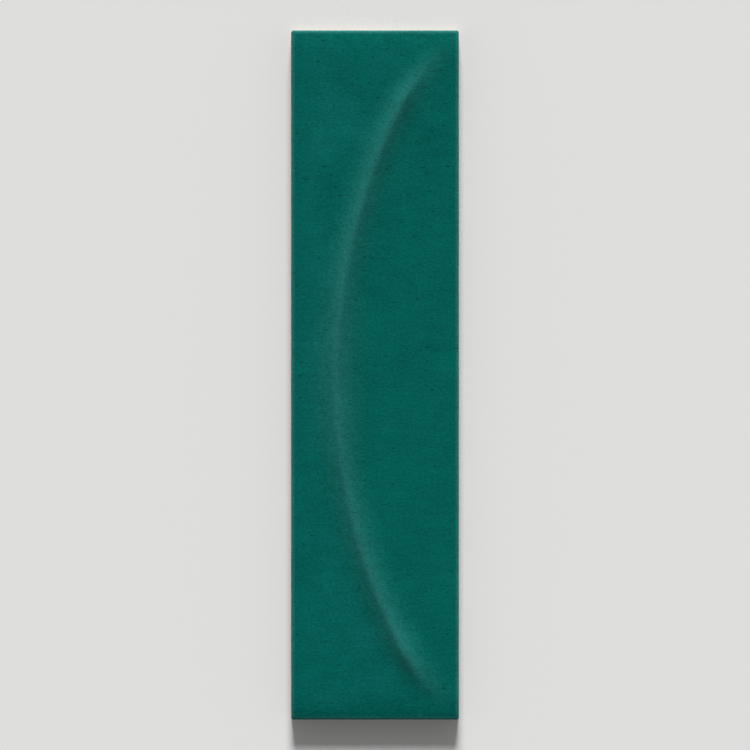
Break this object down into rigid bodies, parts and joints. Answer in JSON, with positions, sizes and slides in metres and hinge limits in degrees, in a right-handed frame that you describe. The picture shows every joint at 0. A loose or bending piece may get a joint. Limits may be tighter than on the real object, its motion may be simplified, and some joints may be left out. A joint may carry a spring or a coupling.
{
  "type": "decorative wall tile",
  "caption": "Long narrow pressed and glazed wall tile with a raised arc sweeping across its face; pairs of tiles close their arcs into a pointed oval.",
  "frame": {"origin": "centre of the tile's back, on the back face", "axes": "+Z out of the glazed face, +Y along the length, +X across the width, away from the side the arc bulges to"},
  "size_m": [0.073, 0.3, 0.0104],
  "materials": {
    "glazed_body": "matte"
  },
  "bodies": {
    "root": {"wall_tile": "glazed_body"}
  },
  "joints": []
}
